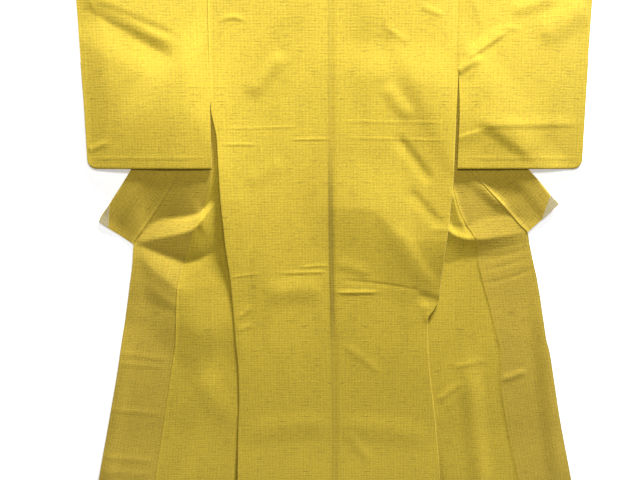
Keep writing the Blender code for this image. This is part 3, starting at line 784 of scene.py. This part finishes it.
def make_body(side, material):
    piece = Piece("kimono_body_" + side.name)
    drop = DROPS[:, None]
    centre = side.sign * CENTRE(drop)
    edge = read(side, "side", drop)
    fold = read(side, "fold", drop)
    first = (centre if side is LEFT else centre - CENTRE_TUCK) + np.array(SEAM_COLUMNS)
    even = shares(CENTRE_COLUMNS - len(SEAM_COLUMNS))
    out = np.concatenate((first, mix(first[:, -1:] + SEAM_GAP, NECK_HALF, even),
                          mix(NECK_HALF, edge, STRIP_SHARES)), axis=1)
    top = np.maximum(0.0, neckline(out) - NECK_OVERLAP)
    down = np.where(drop < FRONT_START, top + drop * (1 - top / FRONT_START), drop)
    dip_depth, dip_width = side.dip
    height = back_height(side, out, down)
    height = height - dip_depth * (1 - soft((out - centre) / dip_width))
    back = piece.add_grid(side.sign, out, down, height, grid_of(out - centre, -down))
    if side is LEFT:
        band = 1 - soft((out - centre - SEAM_BAND) / BAND_EASE + 0.5)
        piece.dense = band * mix(BAND_LEAST, 1.0, hump(down, *BAND_DROPS))

    # strip, and the wing that goes on from it at the fold line
    turned_u = NECK_HALF + FOLD_PAST_NECK
    strip_out = mix(fold, edge, STRIP_SHARES)
    strip_u = mix(turned_u + 0.0 * fold, edge - centre, STRIP_SHARES)
    strip = piece.add_grid(side.sign, strip_out, drop, strip_height(side, strip_out, drop),
                           grid_of(strip_u, drop), STRIP_PLACE, flip=True)
    fold, edge, drop = fold[FRONT_ROW:], edge[FRONT_ROW:], drop[FRONT_ROW:]
    over = onset(drop, OKUMI_TOP, OKUMI_TOP + OKUMI_SEAM_RUN)
    limit_out, limit_down = front_limit(side, drop, mix(TUCK, 0.0, over))
    middle = np.minimum(edge, mix(fold, limit_out, COVERED_SHARE))
    hidden, shown = shares(HIDDEN_COLUMNS), shares(WING_COLUMNS, closed=True)
    wing_out = np.concatenate((mix(fold, middle, hidden), mix(middle, limit_out, shown)), axis=1)
    wing_down = np.concatenate((drop + 0.0 * hidden, mix(drop, limit_down, shown)), axis=1)
    rise = SEAM_RISE * over * soft((wing_out - limit_out) / SEAM_RUN + 1)
    height = HALF_WALL + wing_lift(side, wing_out, wing_down) + rise
    wing = piece.add_grid(side.sign, wing_out, wing_down, height,
                          grid_of(turned_u - (wing_out - fold), wing_down), WING_PLACE)

    at_fold, at_seam = np.s_[FRONT_ROW:, 0], np.s_[SEAM_ROW:, -1]
    piece.add_turn(line_of(back, np.s_[0, CENTRE_COLUMNS:]), strip[0][0], (0, 1), (0, 1))
    piece.add_turn(line_of(strip, at_fold), wing[0][:, 0], (-side.sign, 0), (-1, 0))
    piece.add_turn(line_of(back, at_seam), strip[0][at_seam], (side.sign, 0), (1, 0))
    return piece.build(material, CLOTH, "body_" + side.name)


# Overlap panels

OKUMI_COLUMNS = 26
TUCK_FADE = 0.012          # length over which their tuck under the collar ends


def make_okumi(side, material):
    drop = DROPS[OKUMI_ROW:, None]
    inner = front_limit(side, drop, -TUCK)
    under = TUCK * (1 - onset(drop, side.collar_end - TUCK_FADE, side.collar_end))
    outer = outline_point(side, "edge", drop - side.edge_rise * hem_tilt(drop), under)
    share = shares(OKUMI_COLUMNS, closed=True)
    out, down = mix(inner[0], outer[0], share), mix(inner[1], outer[1], share)
    height = HALF_WALL + wing_lift(side, out, down)
    piece = Piece("kimono_okumi_" + side.name)
    piece.add_grid(side.sign, out, down, height, grid_of(outer[0] - out, drop))
    return piece.build(material, CLOTH, "okumi_" + side.name)


# Collar

STATION_STEP = 0.005
NECK_STATIONS = 12
BEND_STATIONS = 12
COLLAR_COLUMNS = 18
FLAP_COLUMNS = 6
FLAP_PLACE = (0.16, 0.0)   # on the piece's layout
SEAM_EDGE = (0.040, 0.080)     # drops between which its seam edge comes up
# The two corners of its lining: mesh, air under it, and distance from the collar's end
LINING_ROWS = 13
LINING_COLUMNS = 8
LINING_AIR = 0.0003
LINING_INSET = 0.0004


def wing_stations(side):
    """Columns of stations down a wing: out, drop, and the direction square to the seam."""
    count = int(round((side.collar_end - FRONT_START) / STATION_STEP))
    at = np.linspace(FRONT_START, side.collar_end, count + 1)
    return np.stack((*outline_point(side, "edge", at), *outward(side, "edge", at)))


def neck_stations(top):
    """The same from the middle of the neck, and on a curve round to the top of the wing."""
    level = NECK_BEND * shares(NECK_STATIONS)
    first = np.array(((NECK_BEND,), (neckline(NECK_BEND),)))
    corner = np.array(((NECK_HALF,), (0.0,)))
    t = shares(BEND_STATIONS)
    curve = (1 - t) ** 2 * first + 2 * t * (1 - t) * corner + t ** 2 * top
    run, fall = mix(corner - first, top - corner, t)
    length = np.hypot(run, fall)
    straight = np.stack((level, neckline(level), 0 * level, 0 * level - 1.0))
    return np.concatenate((straight, np.stack((*curve, fall / length, -run / length))), axis=1)


def collar_path():
    """Stations from the left collar end over the neck to the right one, sign first."""
    halves = []
    for side in SIDES:
        wing = wing_stations(side)
        half = np.concatenate((neck_stations(wing[:2, :1]), wing), axis=1)
        halves.append(np.concatenate((np.full((1, half.shape[1]), float(side.sign)), half)))
    return np.concatenate((halves[0][:, :0:-1], halves[1]), axis=1)


def make_collar(material):
    sign, out, drop, square_out, square_drop = collar_path()[:, :, None]
    width, gap = band_width(drop), band_gap(drop)
    flap = np.minimum(COLLAR_CLOTH - width, width - FLAP_INSET)
    level = np.maximum(width - flap - LEVEL_MARGIN, FLAP_INSET - RAMP_MARGIN)
    ramp = np.maximum(level - RAMP, NECK_OVERLAP)
    turn = width - gap / 2
    piece = Piece("kimono_collar")
    steps = np.hypot(np.diff(sign * out, axis=0), np.diff(drop, axis=0))
    along = np.concatenate(([[0.0]], np.cumsum(steps, axis=0)))

    def lift(reach_out, reach_drop):
        rises = [wing_lift(side, reach_out, reach_drop) for side in SIDES]
        return np.where(sign < 0, rises[0], rises[1])

    def layer(reach, rise, place=(0.0, 0.0)):
        at_out = out + square_out * reach
        at_drop = drop + square_drop * reach
        height = HALF_WALL + lift(at_out, at_drop) + rise
        return piece.add_grid(sign, at_out, at_drop, height, grid_of(reach, along), place)

    reach = turn * shares(COLLAR_COLUMNS, closed=True)
    seam_edge = SEAM_RISE * (1 - soft(reach / SEAM_RUN)) * onset(drop, *SEAM_EDGE)
    upper = layer(reach, gap * onset(reach, ramp, level) + seam_edge)
    flap_reach = mix(turn, width - flap, shares(FLAP_COLUMNS, closed=True))
    lower = layer(flap_reach, 0.0, FLAP_PLACE)
    way = ((sign * square_out)[:, 0], -square_drop[:, 0])
    piece.add_turn(line_of(upper, np.s_[:, -1]), lower[0][:, 0], way, (1, 0))
    return piece.build(material, CLOTH, "collar")


def make_lining(side, material):
    """Corner of the collar's lining that shows at its tip, a triangle on the band."""
    out, down, square_out, square_drop = wing_stations(side)[:, -1]
    width = float(band_width(side.collar_end)) - SEWN_LAYER / 2
    rise = (HALF_WALL + float(band_gap(side.collar_end)) + (CLOTH + LINING_CLOTH) / 2
            + LINING_AIR)
    row = shares(LINING_ROWS)[:, None]
    column = shares(LINING_COLUMNS, closed=True)
    back = side.lining_along * row + LINING_INSET
    reach = width - side.lining_across * (1 - row) * (1 - column)
    at_out = out + square_out * reach + square_drop * back
    at_drop = down + square_drop * reach - square_out * back
    height = rise + wing_lift(side, at_out, at_drop)
    piece = Piece("kimono_lining_" + side.name)
    piece.add_grid(side.sign, at_out, at_drop, height, grid_of(reach, back))
    return piece.build(material, LINING_CLOTH, "collar_lining_" + side.name)


# Sleeves

SLEEVE_COLUMNS = 84
CORNER_COLUMNS = 8
WRIST_ROWS = 62
POCKET_ROWS = 74
SLEEVE_TUCK = 0.005
UNDER_PLACE = (0.0, 0.05)  # of the lower layer on the piece's layout
# How the puff sets in from the edge of the tube: over a length, already begun at the edge,
# further on at the free edge below the seam, and slower near the shoulder
PUFF_RUN = 0.080
PUFF_BEGUN = 0.10
FREE_EDGE = 0.07
FREE_RUN = 0.190
SHOULDER_SHARE = 0.4
SHOULDER_START = 0.002
RIM = 0.004                # width that stays no higher than a plain fold


def make_sleeve(side, material):
    """Flat tube, folded at the shoulder and open to the body and at the wrist."""
    bend = math.pi / 2 * shares(CORNER_COLUMNS, closed=True)
    flat = np.zeros(SLEEVE_COLUMNS)
    cut = np.concatenate((flat, SLEEVE_CORNER * (1 - np.cos(bend))))
    wrist = WRIST_OPENING * shares(WRIST_ROWS)[:, None] + 0.0 * cut
    pocket = mix(WRIST_OPENING, SLEEVE_DROP - cut, shares(POCKET_ROWS, closed=True)[:, None])
    drop = np.concatenate((wrist, pocket))
    inner = read(side, "inner", drop) - SLEEVE_TUCK * sleeve_seam(side, drop)
    wrist_edge = read(side, "outer", drop)
    start = wrist_edge - SLEEVE_CORNER
    column = np.arange(len(cut))
    level = mix(inner, start, column / SLEEVE_COLUMNS)
    corner = start + np.concatenate((flat, SLEEVE_CORNER * np.sin(bend)))
    out = np.where(column < SLEEVE_COLUMNS, level, corner)

    free = onset(drop, side.join_end, side.join_end + FREE_RUN)
    edge = np.minimum(wrist_edge - out, out - inner + FREE_EDGE * free)
    edge = np.minimum(edge, SHOULDER_SHARE * drop + SHOULDER_START)
    puff = Curve(*side.puff)(drop) * soft(edge / PUFF_RUN + PUFF_BEGUN)
    lower_height = over_wing(side, out, drop, wing_lift(side, out, drop))
    height = lower_height + LAYER + puff + relief(side.sleeve_creases, out, drop)
    height = np.maximum(height, lower_height + LEAST_LAYER)
    height = np.where(edge < RIM, np.minimum(height, lower_height + LAYER), height)

    piece = Piece("kimono_sleeve_" + side.name)
    upper = piece.add_grid(side.sign, out, drop, height, grid_of(wrist_edge - out, -drop))
    lower = piece.add_grid(side.sign, out, drop, lower_height, grid_of(wrist_edge - out, drop),
                           UNDER_PLACE, flip=True)
    piece.add_turn(line_of(upper, 0), lower[0][0], (0, 1), (0, 1))

    # the turn along the foot, round the corner and up to the wrist opening
    up_edge = slice(-2, WRIST_ROWS - 1, -1)
    way = (side.sign * np.concatenate((flat, np.sin(bend), np.ones(POCKET_ROWS))),
           -np.concatenate((flat + 1, np.cos(bend), np.zeros(POCKET_ROWS))))
    rims = [[np.concatenate((table[-1], table[up_edge, -1])) for table in grid]
            for grid in (upper, lower)]
    piece.add_turn(rims[0], rims[1][0], way, (0, -1), flip=True)
    return piece.build(material, CLOTH, "sleeve_" + side.name)


# Materials

WARP_LINE = 0.0084         # from one line of the check to the next
WEFT_LINE = 0.0070
ROUGHNESS = 1.0
GLOSS = 0.28
SEAM_SHADE = -0.42         # where the seam allowance shows through
STRAY = 7.0                # how far the check's lines wander, as an angle


class Tree:
    """A new material, with short ways to add nodes to it."""

    def __init__(self, name):
        self.material = bpy.data.materials.new(name)
        self.material.use_nodes = True
        self.nodes = self.material.node_tree.nodes
        self.links = self.material.node_tree.links
        self.shader = self.nodes["Principled BSDF"]

    def put(self, socket, value):
        if isinstance(value, bpy.types.NodeSocket):
            self.links.new(value, socket)
        else:
            socket.default_value = value

    def fill(self, node, values):
        for name, value in values.items():
            self.put(node.inputs[name], value)

    def add(self, kind, values={}, **settings):
        node = self.nodes.new("ShaderNode" + kind)
        for name, value in settings.items():
            setattr(node, name, value)
        self.fill(node, values)
        return node

    def result(self, kind, values, **settings):
        node = self.add(kind, **settings)
        for socket, value in zip(node.inputs, values):
            self.put(socket, value)
        return node.outputs[0]

    def math(self, operation, *values):
        return self.result("Math", values, operation=operation)

    def span(self, *values):
        """Value, from low to high, eased to go from a new low to a new high."""
        return self.result("MapRange", values, interpolation_type="SMOOTHSTEP")

    def noise(self, grain, across, along, shift, detail=2.0):
        """Noise with so many cells a metre across the cloth and along it."""
        stretch = self.add("Mapping", {"Vector": grain, "Scale": (across, along, 1.0),
                                       "Location": (shift, shift * 1.7, 0.0)})
        node = self.add("TexNoise", {"Vector": stretch.outputs[0], "Scale": 1.0,
                                     "Detail": detail, "Roughness": 0.5}, noise_dimensions="2D")
        return node.outputs[0]

    def product(self, values):
        total = values[0]
        for value in values[1:]:
            total = self.math("MULTIPLY", total, value)
        return total


def weave_material(name, colour, shift, sheen=0.12, strength=1.0):
    """Plain slubbed silk: a fine uneven check of warp and weft lines, short dark slubs along
    the weft, specks and fine threads."""
    tree = Tree(name)
    grain = tree.add("UVMap", uv_map="grain").outputs[0]
    across, along = tree.add("SeparateXYZ", {"Vector": grain}).outputs[:2]

    def lines(place, period, wander, vary):
        """Dark lines across a direction, uneven in place and in depth, from -1 to 1."""
        turns = tree.math("MULTIPLY", place, 2 * math.pi / period)
        wave = tree.math("SINE", tree.math("ADD", turns, tree.math("MULTIPLY", wander, STRAY)))
        return tree.math("MULTIPLY", wave, tree.span(vary, 0.25, 0.75, 0.2, 1.6))

    def noise(across, along, own_shift, detail=1.0):
        return tree.noise(grain, across, along, shift + own_shift, detail)

    def tint(value, low, high, at_low, at_high):
        """Tone that goes from one change to another as a noise goes from low to high."""
        return tree.span(value, low, high, 1 + at_low * strength, 1 + at_high * strength)

    warp = lines(across, WARP_LINE, noise(40, 5, 0), noise(90, 30, 2))
    weft = lines(along, WEFT_LINE, noise(9, 55, 3), noise(30, 110, 5))
    slub = noise(30, 560, 7)
    thick = noise(560, 30, 11)
    speck = noise(300, 380, 17)
    blotch = noise(12, 9, 23, 2.0)
    fine_across = noise(130, 900, 29)
    fine_along = noise(900, 130, 31)

    dense = tree.add("Attribute", attribute_name="dense").outputs["Fac"]
    tone = tree.product([
        tree.math("MULTIPLY_ADD", dense, SEAM_SHADE, 1.0),
        tree.math("MULTIPLY_ADD", warp, 0.050 * strength, 1.0),
        tree.math("MULTIPLY_ADD", weft, 0.060 * strength, 1.0),
        tint(slub, 0.64, 0.74, 0.0, -0.30),
        tint(thick, 0.66, 0.76, 0.0, -0.14),
        tint(speck, 0.68, 0.80, 0.0, -0.26),
        tint(blotch, 0.30, 0.70, -0.03, 0.03),
        tint(fine_across, 0.25, 0.75, -0.12, 0.10),
        tint(fine_along, 0.25, 0.75, -0.08, 0.08),
    ])
    tinted = tree.add("VectorMath", {"Vector": colour, "Scale": tone}, operation="SCALE")

    height = tree.math("ADD", tree.math("MULTIPLY", fine_across, 0.6),
                       tree.math("MULTIPLY", fine_along, 0.4))
    height = tree.math("MULTIPLY_ADD", weft, 0.18, height)
    height = tree.math("MULTIPLY_ADD", warp, 0.12, height)
    bump = tree.add("Bump", {"Strength": 0.20, "Distance": 0.0006, "Height": height})
    tree.fill(tree.shader, {
        "Base Color": tinted.outputs[0], "Normal": bump.outputs[0],
        "Roughness": ROUGHNESS, "Specular IOR Level": GLOSS,
        "Sheen Weight": sheen, "Sheen Roughness": 0.45, "Sheen Tint": (1.0, 0.93, 0.72, 1.0),
    })
    return tree.material


def floor_material():
    tree = Tree("pale_floor")
    place = tree.add("TexCoord").outputs["Object"]
    level = tree.span(tree.noise(place, 9, 9, 0.0), 0.2, 0.8, 0.935, 0.955)
    colour = tree.add("CombineColor", dict.fromkeys(("Red", "Green", "Blue"), level))
    tree.fill(tree.shader, {
        "Base Color": colour.outputs[0], "Roughness": 0.9, "Specular IOR Level": 0.1,
        "Emission Color": (1.0, 1.0, 1.0, 1.0), "Emission Strength": 0.34,
    })
    return tree.material


CLOTH_COLOUR = (0.432, 0.306, 0.021)
# The body's silk colour made darker for the overlap panels and the collar: painted shade,
# standing in for these panels lying turned away from the light
PAINTED_SHADE_CLOTH = (0.402, 0.278, 0.025)
LINING_COLOUR = (0.40, 0.335, 0.175)


# The stage: floor, lights and camera

FLOOR_SIZE = 40.0
CAMERA_AT = (-0.0365, 0.6806)    # signed out and drop that it is aimed at
CAMERA_FAR = 1.497
CAMERA_TILT = math.radians(9.0)
CAMERA_LENS = 32.0


def make_stage():
    bpy.ops.mesh.primitive_plane_add(size=FLOOR_SIZE, location=(0.0, 0.0, 0.0))
    floor = bpy.context.object
    floor.name = "floor"
    floor.data.materials.append(floor_material())

    def area_light(name, place, aim, size, power):
        data = bpy.data.lights.new(name, "AREA")
        data.shape = "RECTANGLE"
        data.size, data.size_y = size
        data.energy = power
        light = add_object(name, data)
        light.location = place
        x, y, z = np.array(aim) - np.array(place)
        light.rotation_euler = (math.atan2(math.hypot(x, y), -z), 0.0, math.atan2(-x, y))
        light.visible_camera = False
        return light

    key = area_light("key", (1.30, 4.86, 0.66), (-1.3, 0.0, 0.0), (1.4, 0.40), 1560.0)
    key.data.color = (1.0, 1.03, 1.10)
    area_light("top", (0.0, 1.30, 1.30), (0.0, 0.70, 0.0), (1.1, 0.4), 22.0)

    world = bpy.data.worlds.new("pale_room")
    bpy.context.scene.world = world
    world.use_nodes = True
    background = world.node_tree.nodes["Background"]
    background.inputs["Color"].default_value = (0.98, 0.96, 0.90, 1.0)
    background.inputs["Strength"].default_value = 0.24

    data = bpy.data.cameras.new("camera")
    data.lens = CAMERA_LENS
    data.sensor_width = 36.0
    camera = add_object("camera", data)
    camera.location = (CAMERA_AT[0] + SHIFT_X,
                       SHOULDER_Y - CAMERA_AT[1] + CAMERA_FAR * math.sin(CAMERA_TILT),
                       CAMERA_FAR * math.cos(CAMERA_TILT))
    camera.rotation_euler = (-CAMERA_TILT, 0.0, 0.0)
    bpy.context.scene.camera = camera
    bpy.context.scene.view_settings.view_transform = "Standard"


cloth = weave_material("woven_silk", CLOTH_COLOUR, 0.0)
# Silk for the overlap panels and the collar, with painted shade in its colour
painted_shade_silk = weave_material("woven_silk_painted_shade", PAINTED_SHADE_CLOTH, 40.0)
pale = weave_material("lining_silk", LINING_COLOUR, 80.0, 0.15, 0.5)

for side in SIDES:
    make_body(side, cloth)
    make_okumi(side, painted_shade_silk)
    make_sleeve(side, cloth)
    make_lining(side, pale)
make_collar(painted_shade_silk)

make_stage()
